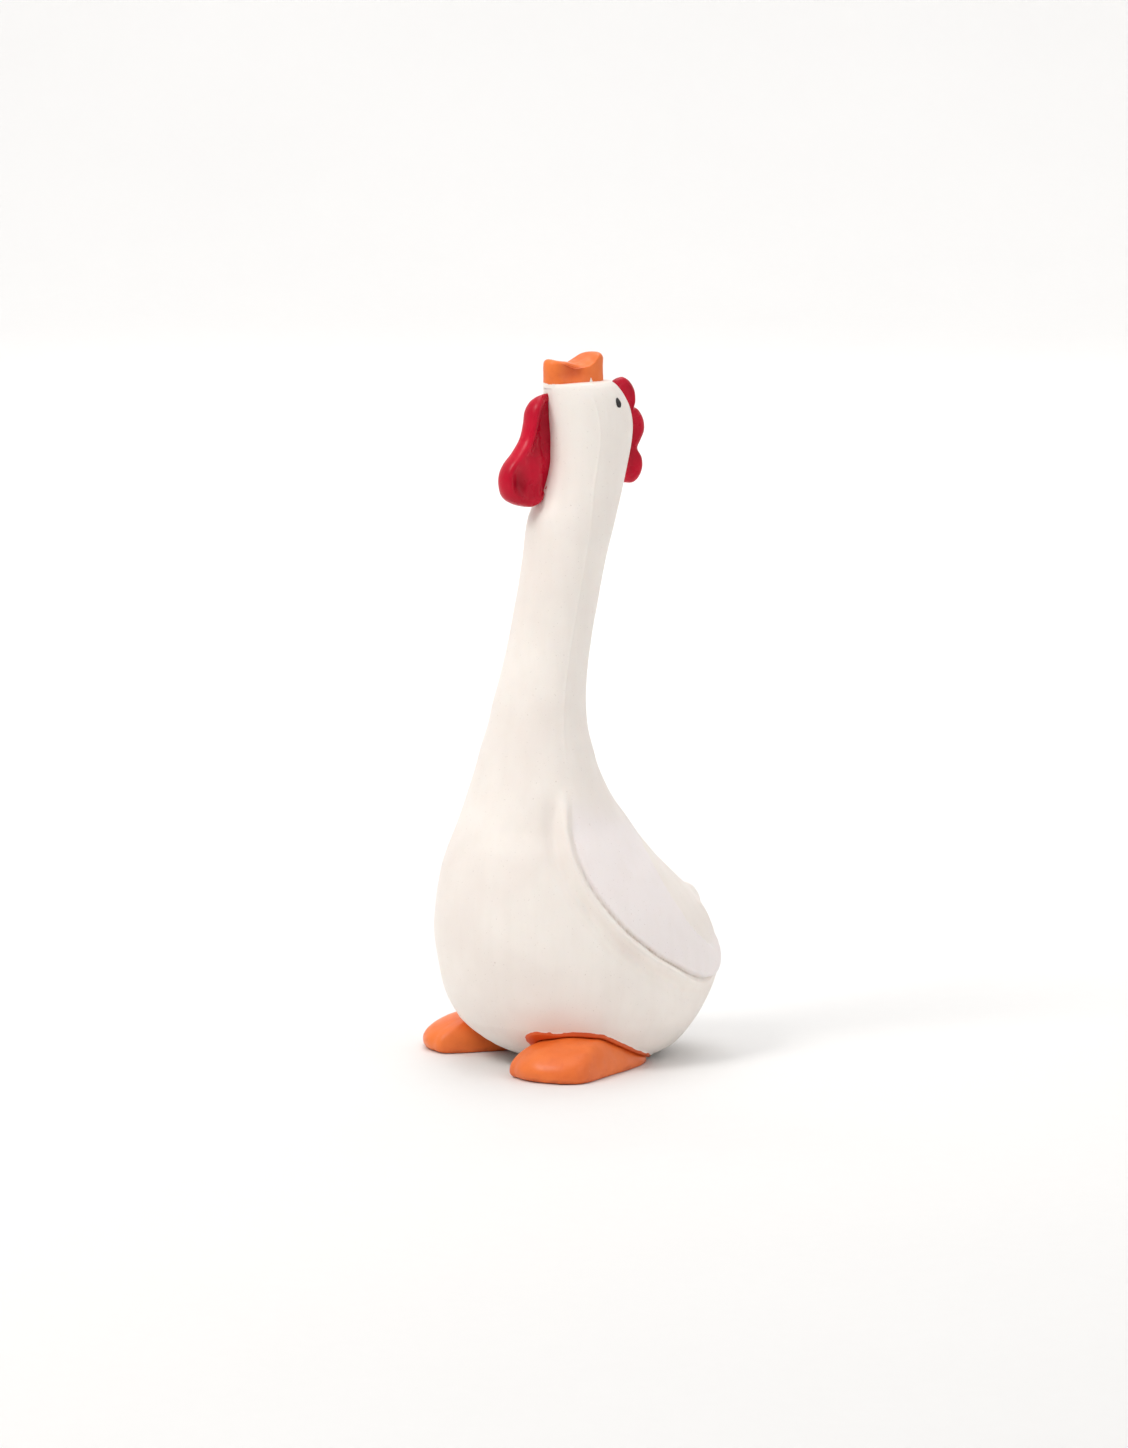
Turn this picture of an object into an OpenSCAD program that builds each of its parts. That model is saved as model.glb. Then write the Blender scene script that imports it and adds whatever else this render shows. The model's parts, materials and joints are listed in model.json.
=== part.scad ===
// Standing rubber chicken, a hollow latex squeeze toy that crows at the sky.
// Millimetres. It faces -Y, its left side is +X, and it stands on the plane z = 0.
// The skin is lofted through level stations, and every feature takes its place from that loft.

/* [Overall] */
// Height from the floor to the tip of the beak
height = 240; // [190:1:300]
// Width of the belly from side to side
body_w = 80; // [66:1:98]
// Depth of the belly from chest to rump
body_d = 100; // [82:1:120]

/* [Neck and head] */
// Thickness of the neck at its narrowest
neck_d = 28; // [23:0.5:34]
// Depth of the head from throat to nape
head_d = 31; // [26:0.5:37]
// Width of the head from side to side
head_w = 25; // [21:0.5:30]

/* [Rubber skin] */
// Thickness of the latex wall
wall = 2.2; // [1.6:0.1:2.8]
// How far a wing stands proud of the belly
wing_relief = 1.6; // [0.8:0.1:2.5]
// Gap round a region that flexes against its neighbour
flex_gap = 0.35; // [0.3:0.05:0.5]
// Gap between two features of the same moulding
bond_gap = 0.1; // [0.05:0.05:0.2]

/* [Beak] */
// Width of the beak from side to side
beak_w = 11; // [9:0.5:14]
// Length of the beak from throat side to comb side
beak_l = 21.5; // [18:0.5:25]
// Height of the beak above the crown of the head
beak_h = 10; // [7:0.5:14]
// How much lower the lower mandible ends than the upper one
beak_step = 1.8; // [1:0.2:3]
// Depth of the open mouth below the upper mandible's tip
mouth_depth = 4.5; // [3:0.5:6]

/* [Comb and wattle] */
// Thickness of the comb
comb_t = 5; // [4:0.5:6.5]
// How far the comb's lowest lobe stands off the nape
comb_reach = 7.5; // [6:0.5:9]
// Thickness of the wattle
wattle_t = 8; // [6:0.5:10]
// How far the wattle's lobe stands off the throat
wattle_reach = 18.5; // [15:0.5:22]

/* [Feet and tail] */
// Length of a foot from heel to toe
foot_l = 57; // [48:1:68]
// Width of a foot across the toes
foot_w = 31; // [26:1:37]
// Height of a foot where it runs into the belly
foot_h = 14; // [11:0.5:17]
// Angle by which each foot turns outwards
foot_splay = 23; // [14:1:30]
// Distance from the middle of the toy to the line of a foot at its heel
stance = 14; // [12.5:0.5:18]
// How far the tail stands off the rump
tail_reach = 4.5; // [3:0.5:7]

/* [Squeaker] */
// Diameter of the squeaker's barrel
barrel_d = 17; // [14:0.5:20]
// Height of the squeaker's barrel above its flange
barrel_h = 15; // [13:0.5:20]
// Diameter of the squeaker's flange
flange_d = 21; // [19:0.5:23]
// Thickness of the squeaker's flange and of its walls
shell_t = 1.1; // [0.8:0.1:1.4]
// Diameter of the reed tube
tube_d = 6.4; // [5.4:0.2:7.4]
// Thickness of the reed
reed_t = 0.3; // [0.2:0.05:0.4]

/* [Hidden] */

// Colours of the latex, of the paints on it and of the squeaker's plastics
latex_white = [0.95, 0.93, 0.90];
beak_orange = [0.93, 0.42, 0.13];
comb_red = [0.70, 0.06, 0.14];
eye_black = [0.06, 0.06, 0.07];
squeaker_white = [0.90, 0.91, 0.92];
reed_amber = [0.80, 0.62, 0.30];

// The station table is written for this height and depth, and follows the driving sizes
kz = height / 240;
ky = body_d / 100;

// Which driving sizes a station's half depth and half width are shares of
BELLY = 0;
NECK = 1;
HEAD = 2;
half_depths = [body_d / 2, neck_d / 2, head_d / 2];
half_widths = [body_w / 2, neck_d / 2, head_w / 2];

// Level stations of the skin: height, centre in y, share of half depth, share of half width, region
stations = [
    [1.5, 0.9, 0.52, 0.62, BELLY],
    [3.2, 0.9, 0.635, 0.72, BELLY],
    [6.4, 0.9, 0.718, 0.80, BELLY],
    [10.5, 0.9, 0.792, 0.87, BELLY],
    [15, 1.0, 0.858, 0.925, BELLY],
    [23, 1.0, 0.95, 0.975, BELLY],
    [32, 0.9, 1.0, 1.0, BELLY],
    [43, -1.5, 0.995, 0.99, BELLY],
    [53, -4.3, 0.937, 0.945, BELLY],
    [65, -9.3, 0.792, 0.86, BELLY],
    [74, -12.2, 0.676, 0.77, BELLY],
    [82, -13.6, 0.588, 0.67, BELLY],
    [90.5, -15.0, 0.495, 0.60, BELLY],
    [99, -15.8, 1.53, 1.50, NECK],
    [107, -15.9, 1.36, 1.34, NECK],
    [115, -15.5, 1.20, 1.19, NECK],
    [123, -14.7, 1.13, 1.12, NECK],
    [131, -13.3, 1.06, 1.05, NECK],
    [142, -11.1, 1.0, 0.99, NECK],
    [155, -8.4, 1.0, 0.97, NECK],
    [170, -5.4, 1.02, 0.97, NECK],
    [184, -2.4, 1.01, 1.06, HEAD],
    [192, 0.6, 0.97, 1.01, HEAD],
    [202, 3.4, 0.95, 0.99, HEAD],
    [213, 4.6, 1.0, 1.0, HEAD],
    [220, 3.9, 0.985, 0.985, HEAD],
    [225, 2.7, 0.94, 0.935, HEAD],
    [228.5, 1.2, 0.84, 0.83, HEAD],
    [230, 0.2, 0.73, 0.72, HEAD]
];
last = len(stations) - 1;
skin = [
    for (s = stations)
        [s[0] * kz, s[1] * ky, s[2] * half_depths[s[4]], s[3] * half_widths[s[4]]]
];
base_z = skin[0][0];
crown_z = skin[last][0];

// Smooth curve through the stations: column c of the skin table at height z
function slope(c, i) =
    let (a = max(i - 1, 0), b = min(i + 1, last))
        (skin[b][c] - skin[a][c]) / (skin[b][0] - skin[a][0]);
function span_of(z, i = 0) = (i >= last - 1 || z < skin[i + 1][0]) ? i : span_of(z, i + 1);
function skin_at(c, z) =
    let (
        zc = min(max(z, base_z), crown_z),
        i = span_of(zc),
        h = skin[i + 1][0] - skin[i][0],
        t = (zc - skin[i][0]) / h,
        t2 = t * t,
        t3 = t2 * t
    )
        skin[i][c] * (2 * t3 - 3 * t2 + 1) + h * slope(c, i) * (t3 - 2 * t2 + t)
        + skin[i + 1][c] * (3 * t2 - 2 * t3) + h * slope(c, i + 1) * (t3 - t2);
function centre_y(z) = skin_at(1, z);
function front_y(z) = centre_y(z) - skin_at(2, z);
function back_y(z) = centre_y(z) + skin_at(2, z);
function half_w(z) = skin_at(3, z);

// A closed smooth outline through hand-placed points
function curve_point(p, i, t) =
    let (
        n = len(p),
        a = p[(i + n - 1) % n],
        b = p[i],
        c = p[(i + 1) % n],
        d = p[(i + 2) % n]
    )
        b + (c - a) * t / 2 + (2 * a - 5 * b + 4 * c - d) * t * t / 2
        + (3 * b - 3 * c + d - a) * t * t * t / 2;
function outline(p, steps = 3) =
    [for (i = [0 : len(p) - 1], s = [0 : steps - 1]) curve_point(p, i, s / steps)];
function mean(p, i = 0) = i >= len(p) ? p[0] * 0 : p[i] / len(p) + mean(p, i + 1);

// Closed solid through a stack of rings, each counter-clockwise as seen from the stack's end.
// Each end is closed by a fan round a point of it: its mean, or the one given in hubs.
module loft(rings, hubs = []) {
    n = len(rings[0]);
    m = len(rings);
    ends = len(hubs) == 2 ? hubs : [mean(rings[0]), mean(rings[m - 1])];
    points = [for (r = rings) each r, each ends];
    walls = [
        for (k = [0 : m - 2], i = [0 : n - 1])
            let (a = k * n + i, b = k * n + (i + 1) % n)
                each [[a, a + n, b + n], [a, b + n, b]]
    ];
    start = [for (i = [0 : n - 1]) [m * n, i, (i + 1) % n]];
    end = [for (i = [0 : n - 1]) [m * n + 1, (m - 1) * n + (i + 1) % n, (m - 1) * n + i]];
    polyhedron(points, concat(walls, start, end));
}

// The skin between two stations, grown outwards; a negative grow gives the wall's inner face
sides = 28;
function skin_ring(z, grow) = [
    for (i = [0 : sides - 1])
        let (a = 360 * i / sides)
            [
                (half_w(z) + grow) * cos(a),
                centre_y(z) + (skin_at(2, z) + grow) * sin(a),
                z
            ]
];
module skin_form(heights, grow) {
    loft([for (z = heights) skin_ring(z, grow)]);
}
// Stations used by the torso, by the head and by both
NECK_FIRST = 15;
NECK_LAST = 20;
function station_heights(a, b) = [for (i = [a : b]) skin[i][0]];
torso_heights = station_heights(0, NECK_LAST);
head_heights = station_heights(NECK_FIRST, last);
function inside(heights, low, high) = [for (z = heights) if (z > low && z < high) z];
torso_inner = concat([base_z + wall], inside(torso_heights, base_z + wall, height));
head_inner = concat(inside(head_heights, 0, crown_z - wall), [crown_z - wall]);

// The neck bends about a line across it, so both ends of the skin are cut round that line
neck_z = 142 * kz;
neck_y = centre_y(neck_z);
knuckle_r = neck_d / 2 + 1.7;
module above_neck(gap) {
    r = knuckle_r + gap;
    translate([0, neck_y, neck_z])
        rotate([0, 90, 0])
            cylinder(r = r, h = 3 * neck_d, center = true, $fn = 72);
    translate([-1.5 * neck_d, neck_y - 1.5 * neck_d, neck_z])
        cube([3 * neck_d, 3 * neck_d, height]);
}

// A plump flat shape standing in the middle plane: its outline in y and z, rounded over its edge
function pillow_ring(p, middle, x, s) = [for (q = p) let (v = middle + (q - middle) * s) [x, v[0], v[1]]];
module pillow(p, middle, t, edge) {
    loft(
        [
            for (f = [-1, -0.85, -0.5, 0, 0.5, 0.85, 1])
                pillow_ring(p, middle, f * t / 2, 1 - edge * (1 - sqrt(1 - min(f * f, 0.96))))
        ],
        [for (f = [-1, 1]) [f * t / 2, middle[0], middle[1]]]
    );
}

// Wing outline in y and z, from the shoulder down its front edge to the tip and back up the back
wing_points = [
    [-17, 87], [-18.7, 80], [-18.4, 72.5], [-15.5, 64], [-10, 55.5], [-3.5, 48], [8, 39],
    [21.5, 31.5], [31, 28], [38.5, 28], [41, 32.5], [36, 43], [26, 56], [13, 69], [1, 81], [-8, 89]
];
wing_outline = outline([for (p = wing_points) [p[0] * ky, p[1] * kz]], 2);
module wing_prism(gap) {
    translate([0.25 * body_w / 2, 0, 0])
        rotate([90, 0, 90])
            linear_extrude(height = body_w)
                offset(delta = -gap)
                    polygon(wing_outline);
}

// Foot in plan: share of its length forward of the heel, share of its width outwards
foot_points = [
    [0.885, -0.42], [0.965, -0.26], [1, -0.05], [0.985, 0.19], [0.94, 0.4], [0.85, 0.51],
    [0.69, 0.5], [0.51, 0.46], [0.34, 0.45], [0.11, 0.36], [-0.03, 0.05], [0.1, -0.14],
    [0.5, -0.31]
];
foot_outline = outline(foot_points, 3);
// Level rings of a foot: share of its height, and scale about the point where it runs into the belly
foot_rings = [
    [0, 0.95], [0.06, 0.985], [0.2, 1], [0.4, 0.985], [0.56, 0.94], [0.68, 0.85],
    [0.8, 0.72], [1, 0.5]
];
foot_root = [0.36, 0.12];
heel = [stance, 13 * ky];
function foot_ring(z, s, inset) = [
    for (p = foot_outline)
        let (
            q = foot_root + (p - foot_root) * s,
            u = q[0] * foot_l - inset * sign(p[0] - foot_root[0]) * min(1, abs(p[0] - foot_root[0]) * 3),
            v = q[1] * foot_w - inset * sign(p[1] - foot_root[1]) * min(1, abs(p[1] - foot_root[1]) * 3)
        )
            [
                heel[0] + u * sin(foot_splay) + v * cos(foot_splay),
                heel[1] - u * cos(foot_splay) + v * sin(foot_splay),
                z
            ]
];
module foot_form() {
    loft([for (r = foot_rings) foot_ring(r[0] * foot_h, r[1], 0)]);
}
module foot_hollow() {
    loft([
        for (r = foot_rings)
            if (r[0] > 0.15) foot_ring(wall + (r[0] - 0.2) * foot_h, r[1] - 0.02, wall)
    ]);
}
module both_sides() {
    children();
    mirror([1, 0, 0])
        children();
}

// Squeaker, from its flange up
squeaker_y = 0;
flange_z = base_z + 0.3;
seat_z = flange_z + shell_t;
seat_t = 2.6;
barrel_top = seat_z + barrel_h;
snap_fit = 0.15;
tube_base = seat_z;
tube_top = barrel_top - 2.5;
collar_h = 3;
reed_w = tube_d * 0.72;
reed_face = 0.35 * tube_d / 2;
module at_squeaker(z = 0) {
    translate([0, squeaker_y, z])
        children();
}
module ring(outer, inner, h) {
    difference() {
        cylinder(d = outer, h = h, $fn = 64);
        translate([0, 0, -1])
            cylinder(d = inner, h = h + 2, $fn = 64);
    }
}

// Belly and lower neck: a thin hollow skin, open to the feet, with a seat for the squeaker
module torso_shell() {
    color(latex_white)
        difference() {
            union() {
                difference() {
                    skin_form(torso_heights, 0);
                    skin_form(torso_inner, -wall);
                    both_sides()
                        wing_prism(-flex_gap);
                }
                at_squeaker(base_z + 0.01)
                    cylinder(d = flange_d + 5, h = seat_z + seat_t - base_z - 0.01, $fn = 64);
            }
            above_neck(flex_gap);
            at_squeaker(base_z - 1)
                cylinder(d = flange_d + 2 * snap_fit, h = seat_z - base_z + 1, $fn = 64);
            at_squeaker(base_z - 1)
                cylinder(d = barrel_d + 2 * snap_fit, h = barrel_h, $fn = 64);
            both_sides()
                foot_hollow();
        }
}

// Upper neck and head, closed by the crown
module head_shell() {
    color(latex_white)
        intersection() {
            difference() {
                skin_form(head_heights, 0);
                skin_form(head_inner, -wall);
            }
            above_neck(0);
        }
}

// Wing: the panel of the skin that a hand presses in, standing proud of the belly
module wing() {
    color(latex_white)
        intersection() {
            difference() {
                skin_form(inside(torso_heights, 20 * kz, 100 * kz), wing_relief);
                skin_form(inside(torso_heights, 12 * kz, 120 * kz), -wall);
            }
            wing_prism(0);
        }
}
module left_wing() {
    wing();
}
module right_wing() {
    mirror([1, 0, 0])
        wing();
}

// Tail: a small nub on the rump
tail_z = 51 * kz;
module tail() {
    root = back_y(tail_z);
    color(latex_white)
        difference() {
            pillow(
                outline([
                    [root - 7, tail_z + 8], [root - 7, tail_z - 6], [root + 0.2 * tail_reach, tail_z - 7],
                    [root + 0.75 * tail_reach, tail_z - 3.5], [root + tail_reach, tail_z + 0.5],
                    [root + 0.7 * tail_reach, tail_z + 2.5], [root, tail_z + 4]
                ]),
                [root - 3, tail_z], 10, 0.45
            );
            skin_form(inside(torso_heights, 20 * kz, 100 * kz), bond_gap);
        }
}

// Foot: a hollow webbed toe box that opens into the belly
module foot() {
    color(beak_orange)
        difference() {
            foot_form();
            foot_hollow();
            skin_form(inside(torso_heights, 0, 60 * kz), bond_gap);
        }
}
module left_foot() {
    foot();
}
module right_foot() {
    mirror([1, 0, 0])
        foot();
}

// Beak: two blunt mandibles that gape upwards, meeting in a shallow valley
beak_y = centre_y(crown_z) - 2;
valley_y = beak_y + 0.1 * beak_l;
function beak_ring(z, s) = [
    for (i = [0 : 31])
        let (a = 360 * i / 32)
            [beak_w / 2 * s * cos(a), beak_y + beak_l / 2 * s * sin(a), z]
];
module beak_form(top) {
    h = top - crown_z;
    intersection() {
        loft([
            for (r = [[-0.3, 1.02], [0.25, 1], [0.55, 0.99], [0.8, 0.94], [0.93, 0.84], [1, 0.66]])
                beak_ring(crown_z + r[0] * h, r[1])
        ]);
        translate([-beak_w, beak_y - beak_l, crown_z + bond_gap])
            cube([2 * beak_w, 2 * beak_l, beak_h]);
    }
}
// Everything on one side of the mouth: side is -1 for the throat side and 1 for the comb side
module mouth_half(side, gap) {
    tip_z = crown_z + beak_h;
    valley_z = tip_z - mouth_depth;
    translate([-beak_w, 0, 0])
        rotate([90, 0, 90])
            linear_extrude(height = 2 * beak_w)
                polygon([
                    [valley_y + side * gap, crown_z - beak_h],
                    [valley_y + side * gap, valley_z],
                    [valley_y + side * (gap + 0.3 * beak_l), tip_z + 1],
                    [valley_y + side * beak_l, tip_z + 1],
                    [valley_y + side * beak_l, crown_z - beak_h]
                ]);
}
module lower_beak() {
    color(beak_orange)
        intersection() {
            beak_form(crown_z + beak_h - beak_step);
            mouth_half(-1, bond_gap / 2);
        }
}
module upper_beak() {
    color(beak_orange)
        intersection() {
            beak_form(crown_z + beak_h);
            mouth_half(1, bond_gap / 2);
        }
}

// Comb: three rounded lobes on the nape. Offsets are from the nape line at each lobe's height.
comb_shape = [
    [-9, 221], [-9, 206], [-8, 194], [1.5, 192.5], [5.5, 195], [7.5, 200], [6.6, 204.6], [4.6, 206.4],
    [6.4, 209], [6.4, 214], [4.4, 218], [2.4, 219.8], [3.8, 222.5], [4, 226.5], [1.4, 230.2], [-6, 228]
];
comb_outline = outline([
    for (p = comb_shape)
        [back_y(min(p[1], 225) * kz) + (p[0] > 0 ? p[0] * comb_reach / 7.5 : p[0]), p[1] * kz]
]);
module comb() {
    color(comb_red)
        difference() {
            pillow(comb_outline, [back_y(210 * kz) - 4.5, 210 * kz], comb_t, 0.2);
            skin_form(head_heights, 2 * flex_gap);
        }
}

// Wattle: a hanging lobe under the throat. Offsets are from the throat line at each height.
wattle_shape = [
    [5, 227], [-2, 227.5], [-6.5, 225], [-8.2, 220], [-9, 216], [-10.8, 211], [-14, 206.6],
    [-17, 203], [-18.3, 199.5], [-18.5, 195.5], [-17.3, 191.4], [-13.5, 188.4], [-8, 187.2],
    [-3, 188], [3, 192], [5, 200], [5, 214]
];
wattle_outline = outline([
    for (p = wattle_shape)
        [front_y(205 * kz) + (p[0] < 0 ? p[0] * wattle_reach / 18.5 : p[0]), p[1] * kz]
]);
module wattle() {
    color(comb_red)
        difference() {
            pillow(wattle_outline, [front_y(205 * kz) - 7, 203 * kz], wattle_t, 0.3);
            skin_form(head_heights, 2 * flex_gap + 0.15);
        }
}

// Eye: a dab of paint on the side of the head, a little behind the middle
eye_z = 224 * kz;
eye_a = 22;
eye_d = 3;
module eye() {
    b = half_w(eye_z);
    a = skin_at(2, eye_z);
    color(eye_black)
        difference() {
            translate([b * cos(eye_a), centre_y(eye_z) + a * sin(eye_a), eye_z])
                rotate([0, 90, atan2(sin(eye_a) / a, cos(eye_a) / b)])
                    translate([0, 0, -1])
                        scale([1.15, 1, 1])
                            cylinder(d = eye_d, h = 1.4, $fn = 32);
            skin_form(inside(head_heights, 200 * kz, height), bond_gap);
        }
}
module left_eye() {
    eye();
}
module right_eye() {
    mirror([1, 0, 0])
        eye();
}

// Squeaker housing: a flanged cup that snaps into the belly's seat
module squeaker_housing() {
    color(squeaker_white)
        at_squeaker() {
            translate([0, 0, flange_z])
                ring(flange_d, tube_d - 2 * shell_t, shell_t);
            translate([0, 0, seat_z])
                ring(barrel_d, barrel_d - 2 * shell_t, barrel_h);
            translate([0, 0, seat_z + seat_t + 0.1])
                ring(barrel_d + 1.2, barrel_d - shell_t, 1);
        }
}

// Squeaker cap: a plug with air holes that closes the cup
module squeaker_cap() {
    plug_d = barrel_d - 2 * shell_t - 2 * bond_gap;
    color(squeaker_white)
        at_squeaker()
            difference() {
                union() {
                    translate([0, 0, barrel_top])
                        cylinder(d = barrel_d, h = shell_t, $fn = 64);
                    translate([0, 0, barrel_top - 1.5])
                        ring(plug_d, plug_d - 2 * shell_t, 1.5 + shell_t / 2);
                }
                for (a = [0 : 60 : 300])
                    rotate(a)
                        translate([0.28 * barrel_d, 0, barrel_top - 2])
                            cylinder(d = 2.2, h = 6, $fn = 24);
            }
}

// Reed tube: a blind tube with one side planed flat, which the reed covers
module reed_tube() {
    color(squeaker_white)
        at_squeaker(tube_base)
            difference() {
                cylinder(d = tube_d, h = tube_top - tube_base, $fn = 48);
                translate([0, 0, -1])
                    cylinder(d = tube_d - 2 * shell_t, h = tube_top - tube_base - 0.2, $fn = 48);
                translate([-tube_d, -tube_d - reed_face, -1])
                    cube([2 * tube_d, tube_d, tube_top]);
            }
}

// Reed: a thin tongue over the tube's slot, free above the collar
reed_y = squeaker_y - reed_face - bond_gap - reed_t;
reed_z = tube_base + collar_h + bond_gap;
module reed() {
    color(reed_amber)
        translate([-reed_w / 2, reed_y, reed_z])
            cube([reed_w, reed_t, tube_top - reed_z - 0.4]);
}

// Reed collar: the ring that clamps the foot of the reed against the tube
module reed_collar() {
    color(squeaker_white)
        at_squeaker(tube_base)
            difference() {
                ring(tube_d + 2 * shell_t, tube_d + 2 * bond_gap, collar_h);
            }
}

torso_shell();
head_shell();
left_wing();
right_wing();
tail();
left_foot();
right_foot();
lower_beak();
upper_beak();
comb();
wattle();
left_eye();
right_eye();
squeaker_housing();
squeaker_cap();
reed_tube();
reed();
reed_collar();
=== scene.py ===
# %% [markdown]
# # Rubber chicken: the looks, built round its CAD frame
#
# The toy is one hollow latex moulding with painted features and a squeaker pushed into its base.
# The CAD part fixes its sizes and its joints; the cells below build the smooth rubber surfaces.
# Lengths in the tables are millimetres, and every mesh is turned into metres as it is made.

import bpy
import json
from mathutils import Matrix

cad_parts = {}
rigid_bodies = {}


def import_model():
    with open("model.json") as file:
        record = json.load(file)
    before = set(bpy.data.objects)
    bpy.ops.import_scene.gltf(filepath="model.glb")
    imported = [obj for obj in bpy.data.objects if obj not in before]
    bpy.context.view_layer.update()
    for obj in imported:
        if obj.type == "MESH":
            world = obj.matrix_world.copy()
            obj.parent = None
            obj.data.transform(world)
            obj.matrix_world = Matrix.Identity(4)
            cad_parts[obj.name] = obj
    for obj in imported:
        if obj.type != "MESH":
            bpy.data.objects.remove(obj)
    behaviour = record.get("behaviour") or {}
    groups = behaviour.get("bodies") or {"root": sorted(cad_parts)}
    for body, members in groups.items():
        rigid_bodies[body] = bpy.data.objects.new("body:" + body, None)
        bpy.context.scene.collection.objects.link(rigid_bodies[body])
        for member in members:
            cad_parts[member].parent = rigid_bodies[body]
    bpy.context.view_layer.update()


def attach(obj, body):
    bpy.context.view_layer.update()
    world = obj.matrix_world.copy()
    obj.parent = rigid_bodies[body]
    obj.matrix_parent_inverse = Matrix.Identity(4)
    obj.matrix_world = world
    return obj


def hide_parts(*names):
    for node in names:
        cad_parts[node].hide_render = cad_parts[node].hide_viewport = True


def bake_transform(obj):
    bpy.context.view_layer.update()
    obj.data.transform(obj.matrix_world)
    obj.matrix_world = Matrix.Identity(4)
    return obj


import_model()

import json
import math

import bmesh
import bpy
import numpy as np
from mathutils import Vector
from mathutils.bvhtree import BVHTree

# %% [markdown]
# ## Small tools for surfaces
#
# Nearly every piece is a stack of closed rings, because a moulded rubber form has one smooth skin and no edges.
# A grid of points is easy to displace, and it needs no sculpting by hand.
# Subdividing a hand-made cage would be the other way, but then the sizes drift from the CAD.

# %% Tools: smooth steps, closed curves and lumps
def smooth(edge0, edge1, x):
    """0 below edge0, 1 above edge1, and a soft ramp between."""
    t = np.clip((np.asarray(x, float) - edge0) / (edge1 - edge0), 0, 1)
    return t * t * (3 - 2 * t)


def bell(x, width):
    """1 at x = 0 falling off softly over width."""
    return np.exp(-((np.asarray(x, float) / width) ** 2))


def blunt(x, width):
    """Like bell, but with a flatter top and steeper sides."""
    return np.exp(-((np.abs(x) / width) ** 2.6))


def curve(points, count, closed=True):
    """count points along a smooth curve through the given ones, evenly spaced."""
    p = np.array(points, float)
    n = len(p)
    if closed:
        q = np.vstack([p[-1:], p, p[:2]])
        spans = n
    else:
        q = np.vstack([2 * p[:1] - p[1:2], p, 2 * p[-1:] - p[-2:-1]])
        spans = n - 1
    t = np.linspace(0, 1, 24, endpoint=False)[:, None]
    parts = []
    for i in range(spans):
        a, b, c, d = q[i], q[i + 1], q[i + 2], q[i + 3]
        parts.append(
            b + (c - a) * t / 2 + (2 * a - 5 * b + 4 * c - d) * t**2 / 2 + (3 * b - 3 * c + d - a) * t**3 / 2
        )
    fine = np.vstack(parts + ([] if closed else [p[-1:]]))
    loop = np.vstack([fine, fine[:1]]) if closed else fine
    run = np.concatenate([[0], np.cumsum(np.linalg.norm(np.diff(loop, axis=0), axis=1))])
    stops = np.linspace(0, run[-1], count, endpoint=not closed)
    return np.stack([np.interp(stops, run, loop[:, k]) for k in range(p.shape[1])], 1)


def lumps(p, size, seed, waves=9):
    """Soft unevenness between -1 and 1, with bumps about size millimetres across."""
    r = np.random.default_rng(seed)
    out = np.zeros(p.shape[:-1])
    for _ in range(waves):
        k = r.normal(size=3)
        k *= 2 * np.pi / size / np.linalg.norm(k) * r.uniform(0.6, 1.5)
        out += np.sin(p @ k + r.uniform(0, 6.28))
    return out / waves * 1.6


# %% Tools: rings into a mesh
def ring_faces(rows, cols):
    """Quads of a stack of closed rings, facing outwards when rings run anticlockwise and rise."""
    r, c = np.meshgrid(np.arange(rows - 1), np.arange(cols), indexing="ij")
    d = (c + 1) % cols
    return np.stack([r * cols + c, r * cols + d, (r + 1) * cols + d, (r + 1) * cols + c], -1).reshape(-1, 4)


def make_object(name, points_mm, faces, fields=None, normals=None):
    """A smooth-shaded object from points in millimetres, with extra values stored on its points."""
    mesh = bpy.data.meshes.new(name)
    mesh.from_pydata((np.asarray(points_mm) / 1000).tolist(), [], [list(map(int, f)) for f in faces])
    mesh.polygons.foreach_set("use_smooth", np.ones(len(mesh.polygons), bool))
    for key, values in (fields or {}).items():
        mesh.attributes.new(key, "FLOAT", "POINT").data.foreach_set("value", np.asarray(values, np.float32))
    mesh.update()
    if normals is not None:
        mesh.normals_split_custom_set_from_vertices(np.asarray(normals, float).tolist())
    obj = bpy.data.objects.new(name, mesh)
    bpy.context.scene.collection.objects.link(obj)
    return obj


def closed_stack(name, rings, fields=None, hubs=None):
    """A closed object from a stack of rings, with a point closing each end."""
    rings = np.asarray(rings, float)
    rows, cols = rings.shape[:2]
    ends = hubs if hubs is not None else [rings[0].mean(0), rings[-1].mean(0)]
    points = np.vstack([rings.reshape(-1, 3), ends])
    a, b = rows * cols, rows * cols + 1
    faces = [list(f) for f in ring_faces(rows, cols)]
    faces += [[a, (c + 1) % cols, c] for c in range(cols)]
    faces += [[b, (rows - 1) * cols + c, (rows - 1) * cols + (c + 1) % cols] for c in range(cols)]
    if fields is not None:
        fields = {k: np.concatenate([np.ravel(v), [np.ravel(v)[0], np.ravel(v)[-1]]]) for k, v in fields.items()}
    return make_object(name, points, faces, fields)


def grid_normals(g):
    """Outward normals of a stack of closed rings."""
    du = np.roll(g, -1, 1) - np.roll(g, 1, 1)
    dv = np.gradient(g, axis=0)
    n = np.cross(du, dv)
    return n / np.maximum(np.linalg.norm(n, axis=-1, keepdims=True), 1e-9)


print("tools ready")

# %% [markdown]
# ## The white skin
#
# The skin is one surface from the squeaker's seat, round the belly and up the neck to the crown.
# Its stations give the height, the middle, the half depth and the half width of level cuts, as in the CAD.
# Details are pushed in or out along the surface: a wing edge is a soft roll beside a crease, the tail is a nub.

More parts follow.
